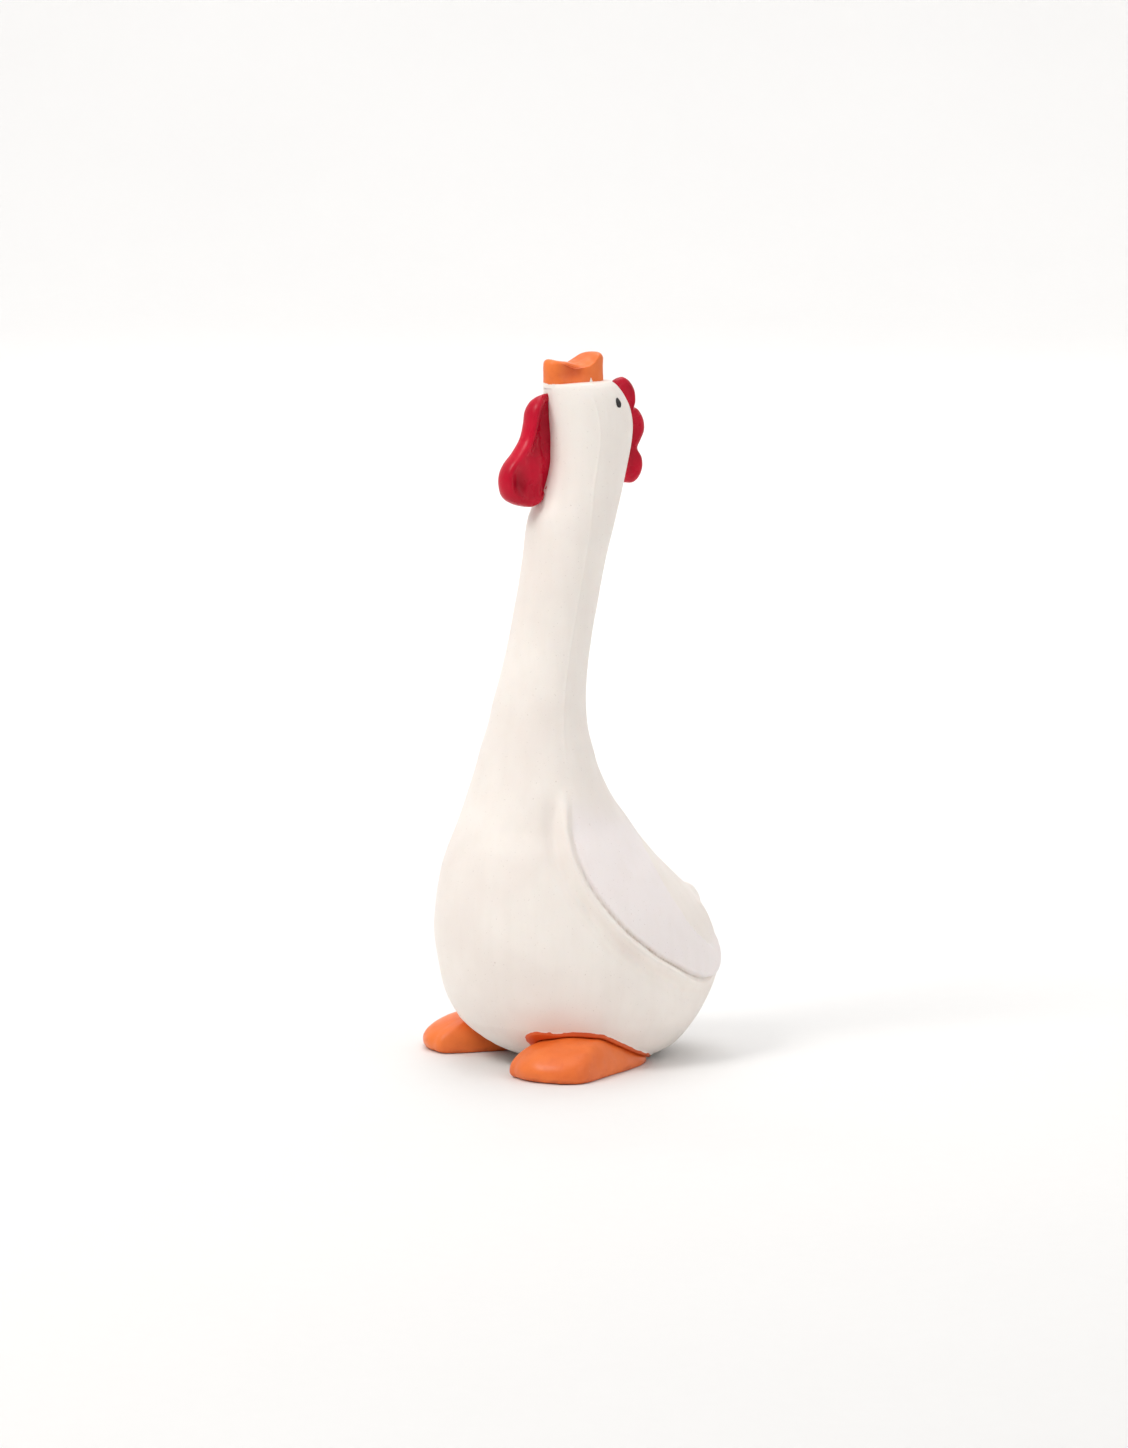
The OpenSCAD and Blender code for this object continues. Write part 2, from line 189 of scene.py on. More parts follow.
# %% Stations of the skin
STATIONS = np.array([
    (1.5, 0.9, 26.0, 24.8), (3.2, 0.9, 31.7, 28.8), (6.4, 0.9, 35.9, 32.0), (10.5, 0.9, 39.6, 34.8),
    (15, 1.0, 42.9, 37.0), (23, 1.0, 47.5, 39.0), (32, 0.9, 50.0, 40.0), (43, -1.5, 49.7, 39.6),
    (53, -4.3, 46.8, 37.8), (65, -9.3, 39.6, 34.4), (74, -12.2, 33.8, 30.8), (82, -13.6, 29.4, 26.8),
    (90.5, -15.0, 24.8, 24.0), (99, -15.8, 21.4, 21.0), (107, -15.9, 19.0, 18.8), (115, -15.5, 16.8, 16.7),
    (123, -14.7, 15.8, 15.7), (131, -13.3, 14.8, 14.7), (142, -11.1, 14.0, 13.9), (155, -8.4, 14.0, 13.6),
    (170, -5.4, 14.3, 13.6), (184, -2.4, 15.6, 13.2), (192, 0.6, 15.0, 12.6), (202, 3.4, 14.7, 12.4),
    (213, 4.6, 15.5, 12.5), (220, 3.9, 15.3, 12.3), (225, 2.6, 14.3, 11.7), (228.5, 1.1, 13.1, 10.5),
    (230, 0.2, 12.0, 9.5),
])


def station(z):
    """Middle, half depth and half width of the skin at height z, by a smooth curve through the stations."""
    s = STATIONS
    z = np.clip(np.asarray(z, float), s[0, 0], s[-1, 0])
    i = np.clip(np.searchsorted(s[:, 0], z, "right") - 1, 0, len(s) - 2)
    slopes = np.empty_like(s)
    slopes[1:-1] = (s[2:] - s[:-2]) / (s[2:, :1] - s[:-2, :1])
    slopes[0] = (s[1] - s[0]) / (s[1, 0] - s[0, 0])
    slopes[-1] = (s[-1] - s[-2]) / (s[-1, 0] - s[-2, 0])
    h = (s[i + 1, 0] - s[i, 0])[..., None]
    t = ((z - s[i, 0]) / h[..., 0])[..., None]
    out = (
        s[i] * (2 * t**3 - 3 * t**2 + 1)
        + h * slopes[i] * (t**3 - 2 * t**2 + t)
        + s[i + 1] * (3 * t**2 - 2 * t**3)
        + h * slopes[i + 1] * (t**3 - t**2)
    )
    return out[..., 1], out[..., 2], out[..., 3]


def skin_point(angle_deg, z, off=0.0):
    """A point of the plain skin: angle 0 is the left side, 90 the back, -90 the breast."""
    cy, a, b = station(z)
    t = np.radians(angle_deg)
    return np.stack([(b + off) * np.cos(t), cy + (a + off) * np.sin(t), z * np.ones_like(t)], -1)


print("stations:", len(STATIONS), "from", STATIONS[0, 0], "to", STATIONS[-1, 0], "mm up")

# %% Skin grid: underside, wall and crown
COLS = 320  # points round each ring
SEAT_R = 10.9  # the round seat that takes the squeaker's flange
BORE_R = 8.7  # the hole that its barrel goes through
CROWN_Z, CROWN_DOME = 230.0, 0.45
HEIGHT_BANDS = [(1.5, 24, 0.42), (24, 100, 0.62), (100, 184, 0.7), (184, 228.5, 0.5), (228.5, 230.01, 0.2)]
SEAT_PROFILE = [
    (BORE_R, 7.0), (BORE_R, 3.4), (BORE_R, 2.95), (9.6, 2.9), (SEAT_R - 0.1, 2.9), (SEAT_R, 2.7), (SEAT_R, 2.0),
    (SEAT_R + 0.1, 1.65), (SEAT_R + 0.4, 1.5),
]
heights = np.concatenate([np.arange(*band) for band in HEIGHT_BANDS])
angle = np.linspace(0, 2 * np.pi, COLS, endpoint=False)
cy, a, b = station(heights)
wall_rows = np.stack([
    b[:, None] * np.cos(angle), cy[:, None] + a[:, None] * np.sin(angle), heights[:, None] + 0 * angle
], -1)
# Underside: from the bore out over the seat and the flat base to the first ring of the wall
base_rows = [np.stack([r * np.cos(angle), r * np.sin(angle), z + 0 * angle], -1) for r, z in SEAT_PROFILE]
inner = base_rows[-1]
for f in np.linspace(0.12, 0.92, 8):
    base_rows.append(inner * (1 - f) + wall_rows[0] * f)
# Crown: the last ring drawn in over a low dome
crown_rows = []
top = wall_rows[-1]
crown_hub = np.array([0, top[:, 1].mean(), CROWN_Z])
for f in np.linspace(0.12, 0.97, 9):
    ring = crown_hub + (top - crown_hub) * math.cos(f * math.pi / 2)
    ring[:, 2] = CROWN_Z + CROWN_DOME * math.sin(f * math.pi / 2)
    crown_rows.append(ring)
skin = np.concatenate([np.array(base_rows), wall_rows, np.array(crown_rows)])
# Under the breast the skin rounds up off the floor, so that light gets in between the feet
radius = np.linalg.norm(skin[..., :2], axis=-1)
front = smooth(0.0, 0.8, -skin[..., 1] / np.maximum(radius, 1)) * (skin[..., 2] < 30)
lift = np.interp(skin[..., 2], [1.5, 3.4, 6.4, 10.5, 15], [1.6, 3.0, 2.5, 1.2, 0]) * smooth(12, 25, radius)
skin[..., 2] += lift * front
FIRST_WALL = len(base_rows)
print("skin grid:", skin.shape[0], "rows of", skin.shape[1])

# %% [markdown]
# ## Relief on the skin
#
# The wing's edge runs from the shoulder down and back to a pointed tip that overhangs the rump.
# Distances from that line shape a soft roll in front, a sharp crease on the line and a plump wing behind it.
# A mould seam stands up a hair's breadth down each side, where the two halves of the mould met.

# %% Wing edge and distances from it
WING_EDGE = [
    (-15.5, 97), (-17.3, 89), (-18.6, 80), (-18.4, 72.5), (-15.5, 64), (-10, 55.5), (-3.5, 48), (2, 43.5), (8, 39),
    (14.5, 35.3), (21.5, 31.6), (29, 28.6), (35.5, 27.6), (40, 29.5), (42.3, 34), (41.5, 41), (37.5, 48.5),
]
edge_yz = curve(WING_EDGE, 240, closed=False)
edge_cy, edge_a, edge_b = station(edge_yz[:, 1])
edge_x = edge_b * np.sqrt(np.clip(1 - ((edge_yz[:, 0] - edge_cy) / edge_a) ** 2, 0.02, 1))
edge = np.column_stack([edge_x, edge_yz])
edge_run = np.concatenate([[0], np.cumsum(np.linalg.norm(np.diff(edge, axis=0), axis=1))])
tangent = np.gradient(edge, axis=0)


def wing_field(p):
    """Signed distance to the wing's edge, positive on the wing, and how far along the edge, from 0 to 1."""
    q = p.copy()
    q[:, 0] = np.abs(q[:, 0])
    dist, near = np.full(len(q), 1e9), np.zeros(len(q), int)
    for i in range(0, len(q), 20000):
        d = np.linalg.norm(q[i:i + 20000, None] - edge[None], axis=2)
        near[i:i + 20000] = d.argmin(1)
        dist[i:i + 20000] = d.min(1)
    v = q - edge[near]
    side = np.sign(tangent[near, 1] * v[:, 2] - tangent[near, 2] * v[:, 1])
    return dist * np.where(side == 0, 1, side), edge_run[near] / edge_run[-1]


flat = skin.reshape(-1, 3)
z_all = flat[:, 2]
distance = np.full(len(flat), 99.0)
along = np.zeros(len(flat))
near_wing = (z_all > 12) & (z_all < 112)
distance[near_wing], along[near_wing] = wing_field(flat[near_wing])
print("wing edge:", round(float(edge_run[-1])), "mm long,", int(near_wing.sum()), "points measured against it")

# %% Wing, tail nub, mould seam and unevenness
ROLL_MM, HOLLOW_MM, CREASE_MM = 2.2, 1.4, 1.25
NUB_MM, NUB_Z, NUB_HALF_W, NUB_HALF_H = 3.2, 51.0, 5.2, 4.6
SEAM_MM, SEAM_HALF_W = 0.2, 0.42
fade_in = smooth(0.0, 0.12, along)
tip = smooth(0.55, 0.8, along)
fade_out = 1 - smooth(0.86, 1.0, along)
roll = ROLL_MM * fade_in * (1 - 0.85 * smooth(0.62, 0.8, along)) * bell(distance + 2.3, 2.0)
hollow = -HOLLOW_MM * fade_in * (1 - smooth(0.62, 0.82, along)) * bell(distance + 6.6, 2.8)
crease = -CREASE_MM * smooth(0.1, 0.3, along) * fade_out * bell(distance - 0.1, 0.75)
wing_pad = smooth(-0.1, 1.3, distance) * bell(np.maximum(distance - 3, 0), 19)
plump = (0.35 + 1.35 * tip) * fade_in * fade_out * wing_pad
under_tip = -0.5 * tip * fade_out * bell(distance + 3.2, 2.6)
push = roll + hollow + crease + plump + under_tip
# Painted shade darkens the crease, most of it half way along
dirt = fade_out * (0.25 + 0.75 * bell(along - 0.5, 0.16)) * smooth(0.12, 0.4, along) * bell(distance - 0.1, 0.5)
wing_tint = fade_in * fade_out * smooth(-0.2, 1.2, distance)

# Tail: a blunt nub on the middle of the rump, turned up a little
side_angle = np.degrees(np.arctan2(flat[:, 1] - station(z_all)[0], flat[:, 0]))
nub = (flat[:, 1] > 20) * NUB_MM * blunt(flat[:, 0], NUB_HALF_W) * blunt(z_all - NUB_Z, NUB_HALF_H)
push += nub

# Mould seam down each side of the head and neck, fading out at the shoulder
arc = (flat[:, 1] - station(z_all)[0] + 3.0 * smooth(180, 200, z_all))
seam = bell(arc, SEAM_HALF_W) * smooth(96, 120, z_all) * (1 - smooth(226, 229, z_all))
push += SEAM_MM * seam
# A short scuff where the mould was mended, beside the eye
push += 0.16 * bell(side_angle - 2, 1.4) * bell(z_all - 220.5, 2.6) * (flat[:, 0] > 0)
# Hand-made unevenness, weaker on the underside
calm = smooth(3, 12, z_all) * (1 - 0.6 * smooth(222, 229, z_all))
push += (0.22 * lumps(flat, 34, 3) + 0.10 * lumps(flat, 13, 4)) * calm

normal = grid_normals(skin).reshape(-1, 3)
wall_only = (np.arange(len(skin)) >= FIRST_WALL).repeat(COLS)
skin = (flat + normal * (push * wall_only)[:, None]).reshape(skin.shape)
print("relief pushed between", round(float(push.min()), 2), "and", round(float(push.max()), 2), "mm")

# %% [markdown]
# ## Feet
#
# A foot is a flattened bulb with a broad, blunt toe that tapers back along the belly to a point.
# It is moulded as part of the skin, so its upper rings run on inside the belly and leave no gap.
# The left foot is built from a plan outline and level rings, and the right one is its mirror image.

# %% Foot outline and rings
FOOT_L, FOOT_W, SPLAY, HEEL = 57.0, 31.0, math.radians(23), (14.0, 13.0)
FOOT_PLAN = [
    (0.885, -0.42), (0.965, -0.27), (1, -0.05), (0.985, 0.19), (0.94, 0.39), (0.85, 0.5), (0.69, 0.49), (0.51, 0.46),
    (0.34, 0.44), (0.11, 0.34), (-0.03, 0.05), (0.1, -0.14), (0.5, -0.31),
]
FOOT_RISE = np.array([
    (0.0, 0.90), (0.15, 0.945), (0.5, 0.972), (1.2, 0.99), (2.4, 1.0), (4.0, 1.0), (5.6, 0.985), (7.2, 0.955),
    (8.8, 0.905), (10.3, 0.84), (11.6, 0.77), (12.8, 0.68), (13.8, 0.58), (14.6, 0.45), (15.0, 0.3),
])
ROOT = np.array([0.36, 0.12])
HEEL_SHARE, TOE_GAIN = 0.34, 0.54  # height of the heel as a share of the table, and what the toe adds


def foot_rings(cols=160, rows=54):
    """Level rings of the left foot, from its sole up to where it is lost inside the belly."""
    plan = curve(FOOT_PLAN, cols)
    rise = curve(FOOT_RISE, rows, closed=False)
    rings = []
    for z, s in rise:
        q = ROOT + (plan - ROOT) * s
        u, v = q[:, 0] * FOOT_L, q[:, 1] * FOOT_W
        x = HEEL[0] + u * math.sin(SPLAY) + v * math.cos(SPLAY)
        y = HEEL[1] - u * math.cos(SPLAY) + v * math.sin(SPLAY)
        # The foot is high at its toe and runs down to a low heel
        rings.append(np.stack([x, y, z * (HEEL_SHARE + TOE_GAIN * smooth(0.0, 0.7, q[:, 0]))], -1))
    rings = np.array(rings)
    lift = smooth(0.6, 4, rings[..., 2])
    # Toes: three faint swellings across the front, and a flattened bottom edge
    front = smooth(0.7, 0.95, plan[:, 0])[None] * lift
    across = plan[:, 1][None] * FOOT_W
    swell = 0.22 * front * np.cos(across / 4.6) + 0.3 * lift * lumps(rings, 22, 11) + 0.12 * lift * lumps(rings, 8, 12)
    return rings + grid_normals(rings) * swell[..., None]


left_rings = foot_rings()
right_rings = left_rings[:, ::-1] * [-1, 1, 1]
print("foot grid:", left_rings.shape[:2])

# %% [markdown]
# ## Beak
#
# The beak gapes straight up, so each mandible is a short blunt lump on the crown with a shaped top.
# Both lumps stop at a valley across the beak, and the comb side stands a little higher.
# Each one is a wall raised from a plan outline and rolled over onto its top surface.

# %% Beak as one lump, cut in two along its valley
BEAK_FOOT_Z, BEAK_TIP_Z = 228.6, 239.9
BEAK_PAINT_Z = 230.1  # the orange ends here, above the white of the head
PINCH_MM, PINCH_AT, PINCH_HALF_W = 1.35, -3.0, 4.4
VALLEY = [(5.35, -1.3), (-5.35, -2.2)]
REAR_PLAN = [
    VALLEY[0], (5.34, 0.8), (5.15, 3.1), (4.6, 5.6), (3.3, 8.0), (1.4, 8.9), (-1.4, 8.9), (-3.3, 8.0), (-4.6, 5.6),
    (-5.15, 3.1), (-5.34, 0.4), VALLEY[1],
]
FRONT_PLAN = [VALLEY[1], (-5.3, -4.4), (-5.0, -7.4), (-4.1, -10.3), (-1.8, -12.2), (1.8, -12.2), (4.1, -10.3),
              (5.0, -7.4), (5.3, -4.2), VALLEY[0]]
# Height of the top against the distance from the valley: the lower mandible is before it and the upper one after it
BEAK_TOP = curve([
    (-12, 237.9), (-10.6, 238.35), (-8.8, 238.3), (-6.4, 238.0), (-4, 237.6), (-1.6, 237.15), (0, 236.95),
    (1.4, 237.1), (3.4, 237.85), (5.8, 239.0), (7.6, 239.7), (9.4, 239.95), (10.6, 239.6), (12, 238.6),
], 200, closed=False)


def from_valley(x, y):
    """Distance from the valley towards the comb, negative on the lower mandible."""
    return y + 1.75 - 0.085 * x


def beak_top(x, y):
    """Height of the beak's top surface, dished in the middle and lower on its left edge."""
    t = from_valley(x, y)
    dish = 0.5 * (1 - np.square(np.clip(x / 5.0, -1, 1))) * smooth(-10, -6, t) * (1 - smooth(5.0, 7.5, t))
    left_dip = smooth(0.5, 5, x) * np.interp(t, [-9, -5, -2, 0, 3, 5, 8, 10], [0, 0.5, 0.9, 0.85, 1.7, 1.5, 0.3, 0])
    return np.interp(t, BEAK_TOP[:, 0], BEAK_TOP[:, 1]) - dish - left_dip


def lump(plan, hub, top, radius, rows=26, roll_rows=10, cover_rows=24):
    """Rings that rise along a plan outline and roll over, by each column's own radius, onto the surface top(x, y)."""
    inward = np.roll(plan, -1, 0) - np.roll(plan, 1, 0)
    inward = np.stack([-inward[:, 1], inward[:, 0]], 1)
    inward /= np.linalg.norm(inward, axis=1, keepdims=True)
    rings = []
    brow = top(plan[:, 0], plan[:, 1]) - radius
    for f in np.linspace(0, 1, rows):
        rings.append(np.column_stack([plan, BEAK_FOOT_Z + (brow - BEAK_FOOT_Z) * f]))
    for f in np.linspace(0, 1, roll_rows + 1)[1:]:
        q = plan + inward * (radius * (1 - math.cos(f * math.pi / 2)))[:, None]
        z = top(q[:, 0], q[:, 1]) - radius * (1 - math.sin(f * math.pi / 2))
        rings.append(np.column_stack([q, z]))
    rim = rings[-1][:, :2]
    for f in np.linspace(0, 1, cover_rows + 1)[1:-1]:
        q = rim + (hub - rim) * f
        rings.append(np.column_stack([q, top(q[:, 0], q[:, 1])]))
    return np.array(rings)


HALF = 128
plan = np.vstack([curve(REAR_PLAN, HALF + 1, closed=False)[:-1], curve(FRONT_PLAN, HALF + 1, closed=False)[:-1]])
beak_hub = np.array([0, -1.75])
roll_radius = 0.75 + 1.3 * smooth(5.5, 10, np.abs(from_valley(plan[:, 0], plan[:, 1])))
beak = lump(plan, beak_hub, beak_top, roll_radius)
side = smooth(2.6, 4.4, np.abs(beak[..., 0])) * smooth(230.4, 233.5, beak[..., 2])
pinch = -PINCH_MM * bell(from_valley(beak[..., 0], beak[..., 1]) - PINCH_AT, PINCH_HALF_W) * side
uneven = 0.16 * lumps(beak, 8, 21) + 0.07 * lumps(beak, 3.0, 22)
beak = beak + grid_normals(beak) * (pinch + uneven)[..., None]
beak[..., 2] -= smooth(234, 238.5, beak[..., 2]) * (beak[..., 2].max() - BEAK_TIP_Z)
beak_normals = grid_normals(beak)
paint = beak[..., 2] - BEAK_PAINT_Z - 0.18 * lumps(beak, 7, 23) - 0.3 * smooth(5.5, 8.5, beak[..., 1])
# A narrow notch that the brush missed, on the left
paint -= 2.1 * np.clip(1 - np.abs(beak[..., 1] - 2.2) / 0.75, 0, 1) * (beak[..., 0] > 0)
# Painted shade in the pinch on each side of the beak, strongest on the sides
pinch_shade = bell(from_valley(beak[..., 0], beak[..., 1]) - PINCH_AT, PINCH_HALF_W) * (0.2 + 1.1 * side)
beak_ends = np.array([[*beak_hub, BEAK_FOOT_Z], [*beak_hub, float(beak_top(*beak_hub))]])
print("beak grid:", beak.shape[:2], "top at", round(float(beak[..., 2].max()), 2), "mm")

# %% Mandibles: the two halves of the beak


def beak_half(name, first):
    """One mandible: half the columns of the lump, closed at the middle of its top and of its foot."""
    cols = np.arange(first, first + HALF + 1) % (2 * HALF)
    m, n = len(beak), HALF + 1
    grid, norms = beak[:, cols].reshape(-1, 3), beak_normals[:, cols].reshape(-1, 3)
    r, c = np.meshgrid(np.arange(m - 1), np.arange(n - 1), indexing="ij")
    faces = np.stack([r * n + c, r * n + c + 1, (r + 1) * n + c + 1, (r + 1) * n + c], -1).reshape(-1, 4).tolist()
    faces += [[m * n, c + 1, c] for c in range(n - 1)]
    faces += [[m * n + 1, (m - 1) * n + c, (m - 1) * n + c + 1] for c in range(n - 1)]
    fields = {
        "paint": np.append(paint[:, cols].ravel(), [-2.0, 5.0]),
        "dip": np.append(pinch_shade[:, cols].ravel(), [0.0, 0.4]),
    }
    return make_object(name, np.vstack([grid, beak_ends]), faces, fields,
                       np.vstack([norms, [[0, 0, -1], [0, 0, 1]]]))


beak_parts = {"lower": beak_half("lower_mandible", HALF), "upper": beak_half("upper_mandible", 0)}
print("mandibles:", [len(o.data.polygons) for o in beak_parts.values()], "faces")

# %% [markdown]
# ## Comb and wattle
#
# Both are plump flat shapes that stand in the middle plane, rooted inside the head.
# Rings shrink from the outline towards a point inside the head, so the crowded middle is never seen.
# The wattle is dished on both faces: a long groove above and a round dimple in its lobe.

# %% Plates that stand in the middle plane
def plate(outline_yz, hub, thick, edge_round, sink, thin=lambda y, z: 1.0, cols=220, rows=46):
    """Rings of a plump plate in the plane x = 0: thin(y, z) scales its thickness and sink(y, z) dishes each face."""
    rim = curve(outline_yz, cols)
    hub = np.array(hub, float)
    reach = np.linalg.norm(rim - hub, axis=1)
    stops = np.concatenate([np.linspace(0, 0.3, rows * 2 // 3), np.linspace(0.33, 0.96, rows // 3)])
    face = []
    for f in stops:
        q = rim + (hub - rim) * f
        inset = f * reach
        h = thick / 2 * np.sqrt(1 - (1 - np.clip(inset / edge_round, 0, 1)) ** 2)
        h = h * thin(q[:, 0], q[:, 1])
        h = np.maximum(h - sink(q[:, 0], q[:, 1]) * smooth(1.6, 4.2, inset), np.minimum(h, 0.45))
        face.append((q, h))
    rings = [np.column_stack([-h, q]) for q, h in face[::-1]]
    rings += [np.column_stack([h, q]) for q, h in face[1:]]
    return np.array(rings), [[-thick / 2, *hub], [thick / 2, *hub]]


COMB = [(11, 222.8), (10, 208.8), (12, 197.5), (19.6, 194.7), (23.0, 195.6), (25.1, 199.2), (25.1, 203), (23.4, 206.3),
        (24.6, 209.0), (26.1, 212.4), (25.7, 216.2), (23.7, 219.4), (21.8, 220.7), (22.3, 223.2), (21.8, 226.8),
        (19.4, 230.0), (16.6, 230.8), (13.2, 228.6)]
comb_rings, comb_hubs = plate(COMB, (12.2, 210), 5.0, 2.9, lambda y, z: 0.35 * bell(y - 20.5, 2.0))
comb_rings = comb_rings + grid_normals(comb_rings) * (0.16 * lumps(comb_rings, 9, 31))[..., None]
# The comb's shallow dish is darkened by painted shade
comb = closed_stack("comb_lobes", comb_rings, {"dip": 0.5 * bell(comb_rings[..., 1] - 20.0, 1.2)}, comb_hubs)
print("comb:", len(comb.data.polygons), "faces")

# %% Wattle
DIMPLE_Y, DIMPLE_Z, DIMPLE_HALF_D, DIMPLE_HALF_H = -24.3, 197.6, 2.9, 3.9
WATTLE = [(-6, 225.5), (-12.4, 226.7), (-16.9, 225.0), (-19.4, 221.8), (-20.3, 217.2), (-21.9, 211.9), (-25.0, 207.3),
          (-28.2, 203.6), (-29.9, 200), (-30.0, 196), (-28.6, 192.4), (-24.8, 189.8), (-19.8, 188.8), (-16.2, 189.8),
          (-13.6, 192.4), (-11.2, 196.5), (-7, 203), (-6, 214)]


def wattle_dimple(y, z):
    """1 in the middle of the lobe's round dimple, falling off softly."""
    return np.exp(-(((y - DIMPLE_Y) / DIMPLE_HALF_D) ** 2) - ((z - DIMPLE_Z) / DIMPLE_HALF_H) ** 2)


def wattle_sink(y, z):
    """Depth of the dished face: a wedge of a groove above, a level table and a round dimple in the lobe."""
    groove_edge = -15.2 - 0.31 * (223.5 - z)
    groove = 2.3 * smooth(groove_edge - 1.7, groove_edge + 2.3, y) * smooth(202.5, 209.5, z) * (1 - smooth(221, 226, z))
    table = 1.1 * smooth(-23.5, -20, y) * (1 - smooth(206, 209, z))
    return np.maximum(np.maximum(groove, table), 2.5 * wattle_dimple(y, z))


def wattle_thin(y, z):
    """The wattle thins towards its root, so that it leaves the throat as a narrow web."""
    return 1 - 0.78 * smooth(-17.2, -11.9, y)


wattle_rings, wattle_hubs = plate(WATTLE, (-7.5, 207), 8.0, 2.9, wattle_sink, wattle_thin)
wattle_rings = wattle_rings + grid_normals(wattle_rings) * (0.18 * lumps(wattle_rings, 10, 33))[..., None]
wy, wz = wattle_rings[..., 1], wattle_rings[..., 2]
# Painted shade in the groove, in the dimple and along the root where the wattle meets the throat
groove_shade = smooth(202, 210, wz) * (1 - smooth(219, 225, wz)) * smooth(-16.5, -14.4, wy + 0.31 * (223.5 - wz))
dip = np.maximum(np.maximum(wattle_dimple(wy, wz), groove_shade), 0.5 * smooth(-13.4, -11.8, wy))
wattle = closed_stack("wattle_lobe", wattle_rings, {"dip": dip}, wattle_hubs)
print("wattle:", len(wattle.data.polygons), "faces")

# %% [markdown]
# ## Paint lines and the skin's pieces
#
# Orange and red were brushed on by hand, so each colour laps a little way onto the white with an uneven edge.
# The lap is measured: it is the distance from a point of the skin to the nearest painted feature.
# The skin is then cut where it bends: the belly in two halves, one for each hand, and the neck with the head.

# %% Feet as objects, and distances from the skin to each painted feature
feet = {}
for name, rings in [("left_foot_bulb", left_rings), ("right_foot_bulb", right_rings)]:
    # Darker patches along the lowest 2.6 mm of each foot
    worn = smooth(2.6, 0.9, rings[..., 2]) * (0.6 + 0.4 * lumps(rings, 7, 41))
    feet[name] = closed_stack(name, rings, {"worn": worn})


def tree_of(*objs):
    """A search tree over the faces of the given objects, in millimetres."""
    verts, polys = [], []
    for o in objs:
        base = len(verts)
        verts += [v.co * 1000 for v in o.data.vertices]
        polys += [[base + i for i in p.vertices] for p in o.data.polygons]
    return BVHTree.FromPolygons(verts, polys)


def clearance(points, tree, keep, within):
    """Distance from each kept point to the tree's surface, negative where it is inside, and 99 for the rest."""
    out = np.full(len(points), 99.0)
    for i in np.nonzero(keep)[0]:
        hit = tree.find_nearest(Vector(points[i]), 8.0)
        if hit[0] is not None:
            inside = (Vector(points[i]) - hit[0]).dot(hit[1]) < 0 and within[i]
            out[i] = -hit[3] if inside else hit[3]
    return out


flat = skin.reshape(-1, 3)
z_all = flat[:, 2]
to_foot = clearance(flat, tree_of(*feet.values()), (z_all < 24) & (z_all > 2), z_all > 0)
to_comb = clearance(flat, tree_of(comb), (z_all > 186) & (flat[:, 1] > 8), np.abs(flat[:, 0]) < 3.2)
to_wattle = clearance(flat, tree_of(wattle), (z_all > 182) & (flat[:, 1] < 0), np.abs(flat[:, 0]) < 2.2)
front_lip = np.exp(-np.sum(((np.abs(flat) - [22.5, 30.5, 13.5]) / [6, 7, 5]) ** 2, 1))
lip = 2.0 + 2.2 * front_lip + 0.22 * lumps(flat, 17, 51)
on_foot_coat = lip - to_foot
on_crest_coat = 0.12 + 0.1 * lumps(flat, 9, 53) - np.minimum(to_comb, to_wattle)
crest_reach = np.where(flat[:, 1] > 0, 3.6, 1.7)
on_crest_coat = np.where(np.abs(flat[:, 0]) < crest_reach, on_crest_coat, -1.0)
# The coat on the belly stands up in a soft bead, with a groove between it and the foot
thick_paint = 0.8 * smooth(-0.2, 0.9, on_foot_coat) * smooth(0.1, 0.9, to_foot) - 0.45 * bell(to_foot, 0.45)
flat = flat + grid_normals(skin).reshape(-1, 3) * thick_paint[:, None]
skin = flat.reshape(skin.shape)
skin_normals = grid_normals(skin)
print("skin painted orange on", int((on_foot_coat > 0).sum()), "points and red on", int((on_crest_coat > 0).sum()))

# %% Cut the skin into two belly halves and the neck with the head
SPLIT_Z = 108.0
split_row = FIRST_WALL + int(np.searchsorted(heights, SPLIT_Z))
SKIN_FIELDS = {"orange": on_foot_coat, "red": on_crest_coat, "dirt": dirt, "wing": wing_tint}


def skin_patch(name, rows, cols):
    """An open patch of the skin grid, keeping the whole skin's normals so that joins don't show."""
    rows, cols = np.asarray(rows), np.asarray(cols) % COLS
    take = (rows[:, None], cols[None, :])
    m, n = len(rows), len(cols)
    r, c = np.meshgrid(np.arange(m - 1), np.arange(n - 1), indexing="ij")
    quads = np.stack([r * n + c, r * n + c + 1, (r + 1) * n + c + 1, (r + 1) * n + c], -1).reshape(-1, 4)
    fields = {k: v.reshape(skin.shape[:2])[take].ravel() for k, v in SKIN_FIELDS.items()}
    return make_object(name, skin[take].reshape(-1, 3), quads, fields, skin_normals[take].reshape(-1, 3))


quarter = COLS // 4
lower_rows = np.arange(0, split_row + 1)
left_belly = skin_patch("belly_left_half", lower_rows, np.arange(-quarter, quarter + 1))
right_belly = skin_patch("belly_right_half", lower_rows, np.arange(quarter, 3 * quarter + 1))
upper_rows = np.arange(split_row, skin.shape[0])
m, n = len(upper_rows), COLS
neck_points = np.vstack([skin[upper_rows].reshape(-1, 3), skin[-1].mean(0) + [0, 0, 0.01]])
neck_faces = [list(f) for f in ring_faces(m, n)]
neck_faces += [[m * n, (m - 1) * n + c, (m - 1) * n + (c + 1) % n] for c in range(n)]
neck = make_object(
    "neck_and_head", neck_points, neck_faces,
    {k: np.append(v.reshape(skin.shape[:2])[upper_rows].ravel(), v[-1]) for k, v in SKIN_FIELDS.items()},
    np.vstack([skin_normals[upper_rows].reshape(-1, 3), [[0, 0, 1.0]]]),
)
print("skin pieces:", {o.name: len(o.data.polygons) for o in (left_belly, right_belly, neck)})

# %% [markdown]
# ## Eyes
#
# Each eye is one dab of thick gloss black, left by a single dip of a brush, so it is taller than wide and leans.
# Its points are laid on the finished skin one by one, because a dab follows whatever it lands on.

